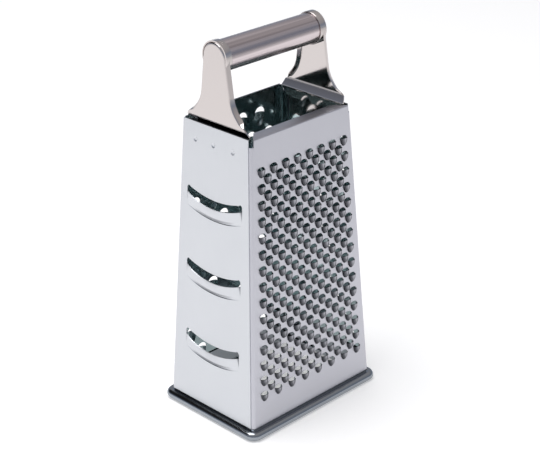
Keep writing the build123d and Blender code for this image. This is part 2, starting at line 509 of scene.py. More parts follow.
# Where punching number index goes on its wall, and whether it is one too many for a short row.
GRID_STEPS = (
    ("total", "MULTIPLY", "Columns", "Rows"),
    ("rank", "DIVIDE", "index", "Columns"),
    ("row", "FLOOR", "rank"),
    ("column", "MODULO", "index", "Columns"),
    ("turn", "ADD", "row", "Short first"),
    ("odd", "MODULO", "turn", 2.0),
    ("short", "MULTIPLY", "odd", "Stagger"),
    ("drop", "SUBTRACT", "Top", "Bottom"),
    ("last row", "SUBTRACT", "Rows", 1.0),
    ("row share", "DIVIDE", "row", "last row"),
    ("fall", "MULTIPLY", "drop", "row share"),
    ("height", "SUBTRACT", "Top", "fall"),
    ("narrowing", "MULTIPLY", "Taper", "height"),
    ("reach", "SUBTRACT", "Foot reach", "narrowing"),
    ("spread", "MULTIPLY", "reach", "Share"),
    ("last column", "SUBTRACT", "Columns", 1.0),
    ("gaps", "MAXIMUM", "last column", 1.0),
    ("half pitch", "DIVIDE", "spread", "gaps"),
    ("doubled", "MULTIPLY", "column", 2.0),
    ("from first", "SUBTRACT", "doubled", "last column"),
    ("from middle", "ADD", "from first", "short"),
    ("across", "MULTIPLY", "from middle", "half pitch"),
    ("up", "MULTIPLY", "height", "Slant"),
    ("beyond", "MULTIPLY", "column", "short"),
    ("last share", "SUBTRACT", "last column", 0.5),
    ("limit", "MAXIMUM", "last share", 0.5),
    ("spare", "GREATER_THAN", "beyond", "limit"),
)


def punching_tree() -> NodeTree:
    """Build the tree that punches a sheet's outline and raises a form at each hole.

    Returns:
        A geometry tree whose inputs are the drawings and the grid's sizes.
    """
    drawings = ("Outline", "Hole", "Form")
    counts = ("Columns", "Rows")
    sizes = ("Top", "Bottom", "Foot reach", "Taper", "Share", "Stagger", "Short first", "Slant")
    kinds = [(name, "Object") for name in drawings]
    kinds += [(name, "Int") for name in counts]
    kinds += [(name, "Float") for name in sizes]
    tree, given = start_tree("punched_sheet", (*kinds, ("Finish", "Material")))
    known = {name: given[name] for name in counts + sizes}
    known["index"] = add_node(tree, "GeometryNodeInputIndex").outputs[0]
    reckon(tree, known, GRID_STEPS)
    places = {0: known["across"], 1: known["up"]}
    spot = add_node(tree, "ShaderNodeCombineXYZ", None, places).outputs[0]
    inputs = {"Count": known["total"], "Position": spot}
    dots = add_node(tree, "GeometryNodePoints", None, inputs).outputs[0]
    inputs = {"Geometry": dots, "Selection": known["spare"]}
    kept = add_node(tree, "GeometryNodeDeleteGeometry", {"domain": "POINT"}, inputs).outputs[0]
    copies = []
    for name in ("Hole", "Form"):
        inputs = {"Points": kept, "Instance": shape_of(tree, given[name])}
        spread = add_node(tree, "GeometryNodeInstanceOnPoints", None, inputs).outputs[0]
        inputs = {"Geometry": spread}
        copies.append(add_node(tree, "GeometryNodeRealizeInstances", None, inputs).outputs[0])
    lines = add_node(tree, "GeometryNodeJoinGeometry")
    for socket in (shape_of(tree, given["Outline"]), copies[0]):
        tree.links.new(socket, lines.inputs[0])
    curves = add_node(tree, "GeometryNodeMeshToCurve", None, {0: lines.outputs[0]}).outputs[0]
    sheet = add_node(tree, "GeometryNodeFillCurve", None, {0: curves}).outputs[0]
    whole = add_node(tree, "GeometryNodeJoinGeometry")
    for socket in (sheet, copies[1]):
        tree.links.new(socket, whole.inputs[0])
    end_tree(tree, whole.outputs[0], given["Finish"])
    return tree


def rolling_tree() -> NodeTree:
    """Build the tree that rolls a section along a path with rounded corners.

    Returns:
        A geometry tree whose inputs are the path, the section and the corners' radius.
    """
    kinds = (
        ("Path", "Object"), ("Section", "Object"), ("Corner radius", "Float"),
        ("Corner steps", "Int"), ("Finish", "Material"),
    )
    tree, given = start_tree("rolled_section", kinds)
    path, section = (
        add_node(tree, "GeometryNodeMeshToCurve", None, {0: shape_of(tree, given[name])}).outputs[0]
        for name in ("Path", "Section")
    )
    inputs = {"Curve": path, "Radius": given["Corner radius"], "Count": given["Corner steps"]}
    bent = add_node(tree, "GeometryNodeFilletCurve", {"mode": "POLY"}, inputs).outputs[0]
    inputs = {"Curve": bent}
    level = add_node(tree, "GeometryNodeSetCurveNormal", {"mode": "Z_UP"}, inputs).outputs[0]
    inputs = {"Curve": level, "Profile Curve": section}
    rolled = add_node(tree, "GeometryNodeCurveToMesh", None, inputs).outputs[0]
    end_tree(tree, rolled, given["Finish"])
    return tree


def grown(name: str, tree: NodeTree, values: dict, drawings: Iterable[Object]) -> Object:
    """Run a geometry tree and keep its mesh.

    Args:
        name: the piece's name.
        tree: the geometry tree.
        values: a value for each of its inputs by name.
        drawings: the objects that it reads, which are deleted.

    Returns:
        The plain mesh object.
    """
    blank = mesh_object(name, (), ())
    maker = blank.modifiers.new(tree.name, "NODES")
    maker.node_group = tree
    for socket in tree.interface.items_tree:
        if socket.in_out == "INPUT":
            maker[socket.identifier] = values[socket.name]
    piece = baked(blank, name)
    for drawing in drawings:
        bpy.data.objects.remove(drawing)
    return piece


def mark_painted_shade(form: Object, start: float = 0.0) -> Object:
    """Store on a form's corners a painted shade mark, darker where the form is steeper.

    Args:
        form: the form in its wall's axes.
        start: lean, as one less the cosine of its angle, that leaves no mark yet.

    Returns:
        The same form.
    """
    # Painted shade: the steeper the form at a corner, the darker it is coloured.
    marks = form.data.attributes.new("drawn", "FLOAT", "CORNER")
    for mark, loop in zip(marks.data, form.data.loops):
        lean = 1 - abs(form.data.vertices[loop.vertex_index].normal.z)
        mark.value = min(1.0, max(0.0, (lean - start) / PAINTED_SHADE_RANGE))
    return form


def thickened(item: Object, thickness: float, name: str) -> Object:
    """Give an open sheet its thickness, on the side away from its normals.

    Args:
        item: the open sheet.
        thickness: in millimetres.
        name: the solid piece's name.

    Returns:
        The solid piece.
    """
    wall = item.modifiers.new("thickness", "SOLIDIFY")
    wall.thickness = thickness
    wall.offset = -1.0
    wall.use_even_offset = True
    wall.thickness_clamp = 0.0
    wall.material_offset = 1
    return baked(item, name)


class Run(Enum):
    """The way that a finish's marks run on the grater, as the axis that they follow."""

    X_ALONG = 0
    Z_UP = 2


@dataclass(frozen=True)
class SteelFinish:
    """Stainless steel with the marks that its making leaves, in sizes of millimetres.

    The marks are streaks along one axis, and handling leaves clouds in the gloss. A
    second colour gives painted shade on the steep sides of raised forms, and tone in the streaks
    themselves.
    """

    name: str
    colour: str
    roughness: float
    run: Run = Run.Z_UP
    streak_width: float = 0.9
    streak_length: float = 45.0
    streak_gloss: float = 0.05
    streak_depth: float = 0.0
    streak_tone: float = 0.0
    cloud_size: float = 22.0
    cloud_gloss: float = 0.04
    # A second colour: painted shade on the steep sides of raised forms, and darker tone in streaks.
    shade_and_streak_colour: str = ""

    def noise(self, tree: NodeTree, sizes: Sequence[float], detail: float) -> NodeSocket:
        """Add a noise on the object's own coordinates.

        Args:
            tree: the material's node tree.
            sizes: the noise's size along each axis.
            detail: its finer octaves.

        Returns:
            The noise, about one half on average.
        """
        where = add_node(tree, "ShaderNodeTexCoord").outputs["Object"]
        inputs = {0: where, 1: [1 / (size * MILLIMETRE) for size in sizes]}
        scaled = add_node(tree, "ShaderNodeVectorMath", {"operation": "MULTIPLY"}, inputs).outputs[0]
        inputs = {"Vector": scaled, "Scale": 1.0, "Detail": detail}
        return add_node(tree, "ShaderNodeTexNoise", None, inputs).outputs[0]

    def material(self) -> Material:
        """Build the material.

        Returns:
            A metal whose gloss varies in streaks and clouds of real size.
        """
        material = bpy.data.materials.new(self.name)
        material.use_nodes = True
        tree = material.node_tree
        shader = tree.nodes["Principled BSDF"]
        shader.inputs["Base Color"].default_value = linear(self.colour)
        shader.inputs["Metallic"].default_value = 1.0
        sizes = [self.streak_width] * 3
        sizes[self.run.value] = self.streak_length
        streaks = self.noise(tree, sizes, STREAK_DETAIL)
        clouds = self.noise(tree, [self.cloud_size] * 3, CLOUD_DETAIL)
        low, swing = self.roughness - self.streak_gloss, 2 * self.streak_gloss
        gloss = reckon(
            tree,
            {"streaks": streaks, "clouds": clouds},
            (
                ("streaked", "MULTIPLY_ADD", "streaks", swing, low),
                ("clouded", "MULTIPLY_ADD", "clouds", 2 * self.cloud_gloss, -self.cloud_gloss),
                ("gloss", "ADD", "streaked", "clouded"),
            ),
        )["gloss"]
        tree.links.new(gloss, shader.inputs["Roughness"])
        if self.streak_depth:
            inputs = {"Height": streaks, "Distance": self.streak_depth * MILLIMETRE, "Strength": 1.0}
            bump = add_node(tree, "ShaderNodeBump", None, inputs).outputs[0]
            tree.links.new(bump, shader.inputs["Normal"])
        # Painted shade on the steep sides of raised forms, and the streak tone, mix in the second colour.
        if self.shade_and_streak_colour:
            drawn = add_node(tree, "ShaderNodeAttribute", {"attribute_name": "drawn"}).outputs["Fac"]
            base = 0.5 - self.streak_tone / 2 if self.streak_tone else 0.0
            share = reckon(
                tree,
                {"streaks": streaks, "drawn": drawn},
                (
                    ("toned", "MULTIPLY_ADD", "streaks", self.streak_tone, base),
                    ("share", "ADD", "toned", "drawn"),
                ),
            )["share"]
            inputs = {0: share, 6: linear(self.colour), 7: linear(self.shade_and_streak_colour)}
            mixed = add_node(tree, "ShaderNodeMix", {"data_type": "RGBA"}, inputs).outputs[2]
            tree.links.new(mixed, shader.inputs["Base Color"])
        return material


# Cold-rolled sheet with a satin face: a soft grey mirror that blurs what it shows. The
# teeth's steep sides get painted shade in a dark second colour, and the lips and burrs a milder one.
TOOTHED_SHEET = SteelFinish("toothed_satin_stainless", "#c2c2c9", 0.34, shade_and_streak_colour="#4c4d52")
SLICER_SHEET = SteelFinish("slicer_satin_stainless", "#d0d2d6", 0.34, shade_and_streak_colour="#6e7076")

# The sheet's unground side keeps the mill's bright roll finish: a dark, crisp mirror.
INSIDE = SteelFinish("mill_bright_stainless", "#abbbbd", 0.1, streak_gloss=0.01, cloud_gloss=0.01)

# Pressed and polished plate: a clear warm mirror with faint wiping marks.
PRESSED_EAR = SteelFinish(
    "polished_pressed_stainless", "#cac3c1", 0.08, streak_width=2.5, streak_gloss=0.015,
    cloud_size=12.0, cloud_gloss=0.015,
)

# Drawn tube, belt-polished along its length: long streaks, lighter and darker by turns,
# and coarser than the belt's real grit.
BRUSHED_TUBE = SteelFinish(
    "belt_polished_stainless_tube", "#dacfd1", 0.24, Run.X_ALONG, streak_width=2.6,
    streak_length=260.0, streak_gloss=0.08, streak_depth=0.12, streak_tone=3.0,
    cloud_gloss=0.02, shade_and_streak_colour="#aca2a4",
)

# Roll-formed strip, polished by the rolls: a sharp bluish mirror round the foot.
ROLLED_RIM = SteelFinish("roll_polished_stainless", "#969ba1", 0.1, Run.X_ALONG, streak_gloss=0.03)

# Stamped caps in the tube's ends, as they leave the press.
STAMPED_PLUG = SteelFinish("stamped_stainless", "#b0b0b4", 0.3)


@dataclass(kw_only=True)
class Panel:
    """One wall's sheet: a flat face with a grid of punchings, and what is formed round them."""

    name: str
    side: Side
    spread: Spread
    body: Body = Body()

    def drawings(self) -> Drawings:
        """Draw the face's outline, one hole and one raised form, in the wall's axes."""
        raise NotImplementedError

    def forms(self) -> Mesh:
        """Draw the forms whose edges meet the face, in the wall's axes."""
        return [], []

    def build(self, finish: Material) -> Object:
        """Punch, form and thicken the sheet, and put it in its place.

        Args:
            finish: the sheet's outer finish.

        Returns:
            The finished panel.
        """
        body, spread, drawings = self.body, self.spread, self.drawings()
        values = {
            "Outline": drawings[0], "Hole": drawings[1], "Form": drawings[2],
            "Columns": spread.columns, "Rows": spread.rows, "Top": spread.top, "Bottom": spread.bottom,
            "Foot reach": body.half_width(0) if self.side.wide else body.half_depth(0),
            "Taper": body.width_taper if self.side.wide else body.depth_taper,
            "Share": spread.share, "Stagger": float(spread.stagger),
            "Short first": float(spread.short_first), "Slant": 1 / cos(body.tilt(self.side)),
            "Finish": finish,
        }
        tree = bpy.data.node_groups.get("punched_sheet") or punching_tree()
        sheet = grown(self.name, tree, values, drawings)
        absorb(sheet, mesh_object("forms", *self.forms()))
        out = Vector((0, 0, 1))
        tidy(sheet, out)
        sheet.data.polygons.foreach_set("material_index", [0] * len(sheet.data.polygons))
        panel = thickened(sheet, body.sheet, self.name)
        shade(panel, out)
        place(panel, body.wall(self.side))
        return panel


@dataclass(kw_only=True)
class GratingPanel(Panel):
    """A wide panel: a face full of raised teeth, two bent legs and a turned-in top edge."""

    tooth_width: float
    tooth_lift: float
    tooth_drop: float
    tooth_mouth: float
    top_edge: float
    edge_radius: float
    bend_relief: float
    hood_power: float = 0.75
    arc_steps: int = 8
    bands: int = 3
    bend_steps: int = 8
    edge_steps: int = 5

    @property
    def edge_drop(self) -> float:
        """How far the top edge's bend reaches down the leaning face."""
        tilt = self.body.tilt(self.side)
        return self.edge_radius * (1 - sin(tilt)) / cos(tilt)

    @property
    def reach(self) -> float:
        """Half the width of the turned-in edge at the face."""
        return self.body.half_width(self.body.height) - self.body.lap - self.body.corner_radius

    def rings(self) -> list[tuple[float, float, float]]:
        """Half width, place and lift of the tooth's arches, from its mouth to its tip.

        Returns:
            One set for each band's edge, closer together towards the tip.
        """
        shares = [sin(turn) for turn in angles(0, pi / 2, self.bands)]
        return [
            (
                self.tooth_width / 2 * sqrt(max(0.0, 1 - share**2)),
                -self.tooth_drop * share,
                self.tooth_lift * (1 - share**2) ** self.hood_power,
            )
            for share in shares
        ]

    def tooth(self) -> Object:
        """Draw one raised tooth, a hood open at its upper end."""
        rows = [
            [(half * cos(turn), along, lift * sin(turn)) for turn in angles(0, pi, self.arc_steps)]
            for half, along, lift in self.rings()
        ]
        # Painted shade colours the tooth's steep sides darker.
        return mark_painted_shade(mesh_object("tooth_form", *grid(rows)))

    def hole(self) -> Object:
        """Draw the hole that one tooth is punched from.

        Returns:
            Its outline in the wall's axes.
        """
        low = [(half, along, 0.0) for half, along, lift in self.rings()]
        high = [
            (self.tooth_width / 2 * cos(turn), self.tooth_mouth * sin(turn), 0.0)
            for turn in angles(pi, 0, self.arc_steps)[1:-1]
        ]
        return loop_object("hole_outline", low + mirrored(low[:-1]) + high)

    def face_outline(self) -> Object:
        """Draw the edge of the flat face, between the bends.

        Returns:
            Its outline in the wall's axes.
        """
        body = self.body
        slant = 1 / cos(body.tilt(self.side))
        right = []
        for drop in (body.height, body.leg_relief, self.bend_relief):
            height = body.height - drop
            across = body.half_width(height) - body.lap - body.corner_radius
            right.append((across, height * slant, 0.0))
        right.append((self.reach, body.height * slant - self.edge_drop, 0.0))
        return loop_object("face_outline", right + mirrored(right))

    def leg(self, hand: int) -> Mesh:
        """Draw one bent leg as it stands in the front wall.

        Args:
            hand: 1 for the leg at +X and -1 for the other.

        Returns:
            The bend up to its relief, and the leg below its own.
        """
        body, radius = self.body, self.body.corner_radius
        bend, flat = [], []
        for drop in (body.height, body.leg_relief, self.bend_relief):
            height = body.height - drop
            edge = hand * (body.half_width(height) - body.lap)
            middle = radius - body.half_depth(height)
            up = body.foot + height
            bend.append([
                (edge - hand * radius * (1 - sin(turn)), middle - radius * cos(turn), up)
                for turn in angles(0, pi / 2, self.bend_steps)
            ])
            flat.append([bend[-1][-1], (edge, middle + body.leg_width, up)])
        return joined(grid(bend), grid(flat[:2]))

    def top_flange(self) -> Mesh:
        """Draw the turned-in top edge as it stands in the front wall.

        Returns:
            The bend over the face and the level strip behind it.
        """
        body, radius = self.body, self.edge_radius
        front = body.half_depth(body.height)
        rows = []
        for turn in angles(body.tilt(self.side), pi / 2, self.edge_steps):
            deep = self.edge_drop - front - radius * cos(turn)
            up = body.top - radius * (1 - sin(turn))
            rows.append([(-self.reach, deep, up), (self.reach, deep, up)])
        inner, deep = self.reach - self.top_edge + radius, self.top_edge - front
        rows.append([(-inner, deep, body.top), (inner, deep, body.top)])
        return grid(rows)

    def drawings(self) -> Drawings:
        """Draw the face, a hole and a tooth."""
        return self.face_outline(), self.hole(), self.tooth()

    def forms(self) -> Mesh:
        """Draw both legs and the turned-in top edge.

        Returns:
            Points, in the wall's axes, and faces.
        """
        points, faces = joined(self.leg(1), self.leg(-1), self.top_flange())
        back = self.body.wall(Side.FRONT).inverted()
        return [tuple(back @ Vector(point)) for point in points], faces


@dataclass(kw_only=True)
class SlicingPanel(Panel):
    """A narrow panel with three raised slicing lips over curved slots."""

    name: str = "slotted_panel"
    side: Side = Side.LEFT
    spread: Spread = Spread(columns=1, rows=3, top=132.5, bottom=38.7, stagger=0)
    half_length: float = 23.4
    sag: float = 4.3
    gap: float = 4.2
    lip_height: float = 8.7
    lip_lift: float = 3.0
    lift_power: float = 1.15
    swell_power: float = 0.6
    groove: float = 0.5
    groove_share: float = 0.17
    bright_lean: float = 0.06
    end_radius: float = 1.7
    end_drop: float = 0.4
    end_gap: float = 0.6
    steps: int = 32
    bands: int = 10
    band_power: float = 1.3
    end_steps: int = 5
    weld_height: float = 170.4
    weld_places: tuple[float, ...] = (-16.8, -1.6, 14.7)
    weld_radius: float = 1.6
    weld_depth: float = 0.35
    weld_steps: int = 20
    weld_shares: tuple = ((1.0, 0.0), (0.85, 0.45), (0.6, 0.9), (0.3, 1.0), (0.0, 1.0))

    @property
    def shares(self) -> list[float]:
        """Places of the lip's bands up its height, closer together at its root."""
        return [(band / self.bands) ** self.band_power for band in range(self.bands + 1)]

    def rise(self, across: float) -> float:
        """Height of the slot's arc over its middle at a distance across the panel."""
        radius = (self.half_length**2 + self.sag**2) / (2 * self.sag)
        return radius - sqrt(radius**2 - across**2)

    def across(self, step: int) -> float:
        """Place of one section of the lip, closer together towards its ends."""
        return self.half_length * sin((2 * step / self.steps - 1) * pi / 2)

    def lip(self) -> Object:
        """Draw one lip: it leaves the sheet in a groove and swells outward in its middle.

        Returns:
            The lip in the wall's axes.
        """
        rows = []
        for step in range(self.steps + 1):
            across = self.across(step)
            swell = max(0.0, 1 - (across / self.half_length) ** 2) ** self.swell_power
            row = []
            for share in self.shares:
                dip = self.groove * sin(pi * min(1.0, share / self.groove_share))
                up = self.rise(across) - self.lip_height * (1 - share)
                row.append((across, up, swell * (self.lip_lift * share**self.lift_power - dip)))
            rows.append(row)
        # Painted shade colours the lip's steeper parts and its groove darker.
        return mark_painted_shade(mesh_object("lip_form", *grid(rows)), self.bright_lean)

    def slot(self) -> Object:
        """Draw the opening that a lip and its slot take from the sheet.

        Returns:
            Its outline in the wall's axes.
        """
        end, radius = self.rise(self.half_length), self.end_radius
        side = [(self.half_length, end - self.lip_height * (1 - share), 0.0) for share in self.shares]
        inner = [self.across(step) for step in range(1, self.steps)]
        root = [(x, self.rise(x) - self.lip_height, 0.0) for x in inner]
        right, up = self.half_length - radius, end + self.gap - radius - self.end_drop
        corner = [
            (right + radius * cos(turn), up + radius * sin(turn), 0.0)
            for turn in angles(0, pi / 2, self.end_steps)
        ]
        limit = right - self.end_gap
        top = [(x, self.rise(x) + self.gap, 0.0) for x in reversed(inner) if abs(x) < limit]
        return loop_object("slot_outline", root + side + corner + top + mirrored(side + corner))

    def weld_circle(self, place: float, radius: float, depth: float) -> list[Point]:
        """Points round a spot weld, at a place across the panel and a depth under its face."""
        up = self.weld_height / cos(self.body.tilt(self.side))
        return [
            (place + radius * cos(turn), up + radius * sin(turn), -depth)
            for turn in angles(0, 2 * pi, self.weld_steps)[:-1]
        ]

    def drawings(self) -> Drawings:
        """Draw the face with room for its welds, a slot and a lip.

        Returns:
            The three drawings, in the wall's axes.
        """
        circles = [self.weld_circle(place, self.weld_radius, 0.0) for place in self.weld_places]
        blank = loop_object("face_outline", self.body.narrow_outline(self.side), *circles)
        return blank, self.slot(), self.lip()

    def forms(self) -> Mesh:
        """Draw the spot welds that hold the ear's flange.

        Returns:
            Shallow round dimples, in the wall's axes.
        """
        dimples = []
        for place in self.weld_places:
            rings = [
                self.weld_circle(place, self.weld_radius * wide, self.weld_depth * deep)
                for wide, deep in self.weld_shares
            ]
            dimples.append(grid(rings, closed=True))
        return joined(*dimples)


@dataclass(kw_only=True)
class ZestingPanel(Panel):
    """A narrow panel pierced from inside, with a torn burr round each hole."""

    name: str = "zesting_sheet"
    side: Side = Side.RIGHT
    spread: Spread = Spread(columns=5, rows=13, top=158.0, bottom=22.0, share=0.66)
    burr_width: float = 4.0
    burr_hole: float = 2.6
    burr_lift: float = 1.0
    shoulder_share: float = 0.35
    tear_share: float = 0.35
    petals: int = 4
    steps: int = 16

    def ring(self, radius: float, lift: float, tear: float) -> list[Point]:
        """Draw one ring of a burr.

        Args:
            radius: the ring's radius.
            lift: the height of its petals.
            tear: how far down the tears between them reach, as a share of the lift.

        Returns:
            Points round the ring, in the wall's axes.
        """
        points = []
        for turn in angles(0, 2 * pi, self.steps)[:-1]:
            torn = tear * (0.5 - 0.5 * cos(self.petals * turn))
            points.append((radius * cos(turn), radius * sin(turn), lift * (1 - torn)))
        return points

    def drawings(self) -> Drawings:
        """Draw the face, a hole and a burr.

        Returns:
            The three drawings, in the wall's axes.
        """
        outer, inner = self.burr_width / 2, self.burr_hole / 2
        rings = [
            self.ring(outer, 0.0, 0.0),
            self.ring((outer + inner) / 2, self.burr_lift * self.shoulder_share, 0.0),
            self.ring(inner, self.burr_lift, self.tear_share),
        ]
        outline = loop_object("face_outline", self.body.narrow_outline(self.side))
        # Painted shade colours the burr's steep sides darker.
        burr = mark_painted_shade(mesh_object("burr_form", *grid(rings, closed=True)))
        return outline, loop_object("hole_outline", rings[0]), burr


@dataclass
class EarBracket:
    """A pressed ear: a rimmed plate, a waist, a swage over the wall and a collar for the tube."""

    name: str
    hand: int
    face: float = 40.8
    sheet: float = 0.8
    edge_round: float = 1.6
    rim_depth: float = 2.7
    rim_flare: float = radians(28)
    rim_fade: float = 4.0
    collar_depth: float = 5.2
    collar_root_share: float = 0.6
    tube_rise: float = 42.0
    head_radius: float = 10.1
    waist_half: float = 13.85
    waist_height: float = 15.7
    waist_radius: float = 18.0
    hip_half: float = 25.6
    hip_height: float = 2.4
    foot_height: float = 4.9
    flange_margin: float = 0.4
    flange_neck: float = 3.5
    flange_depth: float = 18.0
    swage_top: float = 4.2
    swage_low: float = 0.2
    swage_depth: float = 2.2
    swage_return: float = 7.0
    swage_radius: float = 1.3
    clearance: float = 0.02
    head_steps: int = 24
    waist_steps: int = 10
    hip_steps: int = 6
    edge_steps: int = 6
    collar_steps: int = 64
    body: Body = Body()

    @property
    def axis(self) -> float:
        """Height of the tube's axis."""
        return self.body.top + self.tube_rise

    @property
    def foot_half(self) -> float:
        """Half the plate's width at its foot, on the line from its waist to its hip."""
        slope = (self.hip_half - self.waist_half) / (self.waist_height - self.hip_height)
        return self.waist_half + slope * (self.waist_height - self.foot_height)

    def half_outline(self) -> Line:
        """Draw one half of the plate's outline.

        Returns:
            Points as y and z, from its foot to the top of its head.
        """
        foot = Vector((self.foot_half, self.body.top + self.foot_height))
        waist = Vector((self.waist_half, self.body.top + self.waist_height))
        offset = Vector((self.waist_half, self.waist_height - self.tube_rise))
        meet = atan2(offset.y, offset.x) + acos(self.head_radius / offset.length)
        head = Vector((0, self.axis)) + Vector((cos(meet), sin(meet))) * self.head_radius
        line = rounded([foot, waist, head], self.waist_radius, self.waist_steps)
        hip = [tuple(foot.lerp(Vector(line[1]), step / self.hip_steps)) for step in range(self.hip_steps)]
        arc = [
            (self.head_radius * cos(turn), self.axis + self.head_radius * sin(turn))
            for turn in angles(meet, pi / 2, self.head_steps)[1:]
        ]
        return hip + line[1:] + arc

    def rim_section(self) -> Line:
        """Draw the turned-in rim's section.

        Returns:
            Depth and inset, from the plate round the bend to the rim's open edge.
        """
        last = pi / 2 - self.rim_flare
        bend = [
            (self.edge_round * (1 - cos(turn)), self.edge_round * sin(turn))
            for turn in angles(0, last, self.edge_steps)
        ]
        straight = (self.rim_depth - bend[-1][0]) / sin(last)
        reach = bend[-1][1] + straight * cos(last)
        return [(depth, reach - out) for depth, out in bend] + [(self.rim_depth, 0.0)]

    def plate(self) -> Mesh:
        """Draw the plate and its turned-in rim, which fades out towards the swage.

        Returns:
            The left ear's plate with both halves of its rim.
        """
        outline = self.half_outline()
        outline[-1] = (0.0, outline[-1][1])
        rows, rims = [], ([], [])
        for at, (across, up) in enumerate(outline):
            before = Vector(outline[max(at - 1, 0)])
            past_top = Vector((-before.x, before.y))
            after = Vector(outline[at + 1]) if at + 1 < len(outline) else past_top
            along = (after - before).normalized()
            risen = min(1.0, (up - self.body.top - self.foot_height) / self.rim_fade)
            shown = risen * risen * (3 - 2 * risen)
            ring = [
                (depth * shown, across - along.y * inset * shown, up + along.x * inset * shown)
                for depth, inset in self.rim_section()
            ]
            for hand, rim in zip((1, -1), rims):
                rim.append([(depth - self.face, hand * y, z) for depth, y, z in ring])
            rows.append([rims[0][-1][0], rims[1][-1][0]])
        return joined(grid(rows), grid(rims[0]), grid(rims[1]))

    def swage(self) -> Mesh:
        """Draw the bend over the wall's edge and the flange behind the narrow panel.

        Returns:
            The left ear's sheet below its plate.
        """
        body = self.body
        lean = tan(body.tilt(Side.LEFT))
        flush = self.clearance + body.lap - body.half_width(body.height)
        top = body.top + self.foot_height
        corners_down = [
            (-self.face, top), (-self.face, body.top + self.swage_top),
            (self.swage_depth - self.face, body.top - self.swage_low),
        ]
        corners_down += [
            (flush - lean * drop, body.top - drop) for drop in (self.swage_return, self.flange_depth)
        ]
        flange_half = (
            body.half_depth(body.height) - body.corner_radius - body.leg_width - self.flange_margin
        )
        rows = []
        for x, z in rounded(corners_down, self.swage_radius, self.waist_steps):
            below = body.top - z
            if below < -self.hip_height:
                share = (top - z) / (self.foot_height - self.hip_height)
                half = self.foot_half + (self.hip_half - self.foot_half) * share
            else:
                share = min(1.0, max(0.0, below / self.flange_neck))
                half = self.hip_half + (flange_half - self.hip_half) * share
            rows.append([(x, half, z), (x, -half, z)])
        return grid(rows)

    def collar(self) -> Object:
        """Draw the left ear's collar.

        Returns:
            A short tube with a rounded lip, rooted in the plate.
        """
        lip, inner = self.sheet / 2, self.head_radius - self.sheet
        root = self.sheet * self.collar_root_share - self.face
        mouth = self.collar_depth - lip - self.face
        section = [(root, self.head_radius)]
        section += [
            (mouth + lip * sin(turn), inner + lip + lip * cos(turn))
            for turn in angles(0, pi, self.edge_steps)
        ]
        section.append((root, inner))
        collar = mesh_object("collar", *turned(section, self.axis, self.collar_steps))
        tidy(collar)
        return collar

    def build(self) -> Object:
        """Press the left ear, and mirror it where hand is 1, for the right.

        Returns:
            The finished ear.
        """
        ear = mesh_object(self.name, *joined(self.plate(), self.swage()))
        tidy(ear, Vector((-1, 0, 0)))
        pressed = thickened(ear, self.sheet, self.name)
        absorb(pressed, self.collar())
        pressed.data.transform(Matrix.Diagonal((-self.hand, 1, 1, 1)))
        if self.hand > 0:
            pressed.data.flip_normals()
        shade(pressed, Vector((1, 0, 0)))
        place(pressed)
        return pressed


@dataclass
class HandleTube:
    """A thin tube that fills the ears' collars."""

    ear: EarBracket
    name: str = "tube_handle"
    wall: float = 0.8
    clearance: float = 0.05
    chamfer: float = 0.15
    steps: int = 96

    def build(self) -> Object:
        """Draw the tube's skin, ends and bore.

        Returns:
            The finished tube.
        """
        outer = self.ear.head_radius - self.ear.sheet - self.clearance
        end = self.ear.face - self.ear.sheet - self.clearance
        half = [
            (end - self.chamfer, outer), (end, outer - self.chamfer), (end, outer - self.wall)
        ]
        section = half + [(-along, radius) for along, radius in reversed(half)]
        tube = mesh_object(self.name, *turned(section, self.ear.axis, self.steps))
        tidy(tube)
        shade(tube, Vector((1, 0, 0)))
        place(tube)
        return tube


@dataclass
class BaseRim:
    """The foot: sheet folded into a leg inside the walls and rolled into a bead below them."""

    name: str = "rolled_rim"
    bead_radius: float = 2.85
    bead_out: float = 2.25
    bead_height: float = 2.85
    roll_end: float = -radians(207)
    sheet: float = 0.6
    leg: float = 12.0
    clearance: float = 0.08
    corner_steps: int = 10
    bead_steps: int = 28
    body: Body = Body()

    def section(self) -> list[Point]:
        """Draw the rim's closed section.

        Returns:
            Points as distance out of the leg's line, then height turned down.
        """
        lean = self.body.width_taper * self.leg
        foot, top = self.body.foot, self.body.foot + self.leg
        start = pi - asin((foot - self.bead_height) / (2 * self.bead_radius))
        skins = []
        for radius in (self.bead_radius, self.bead_radius - self.sheet):
            skins.append([
                (self.bead_out + radius * cos(turn), self.bead_height + radius * sin(turn))
                for turn in angles(start, self.roll_end, self.bead_steps)
            ])
        line = [(-lean, top), (0.0, foot), *skins[0], *reversed(skins[1])]
        line += [(-self.sheet, foot), (-lean - self.sheet, top)]
        return [(out, -up, 0.0) for out, up in line]

    def build(self, finish: Material) -> Object:
        """Roll the section round the foot.

        Args:
            finish: the rim's finish.

        Returns:
            The finished rim.
        """
        body = self.body
        across = body.half_width(0) - body.lap - body.sheet - self.clearance
        deep = body.half_depth(0) - body.sheet - self.clearance
        path = loop_object("rim_path", corners(across, deep))
        section = loop_object("rim_section", self.section())
        values = {
            "Path": path, "Section": section, "Corner radius": body.corner_radius,
            "Corner steps": self.corner_steps, "Finish": finish,
        }
        rim = grown(self.name, rolling_tree(), values, (path, section))
        tidy(rim)
        shade(rim)
        place(rim)
        return rim


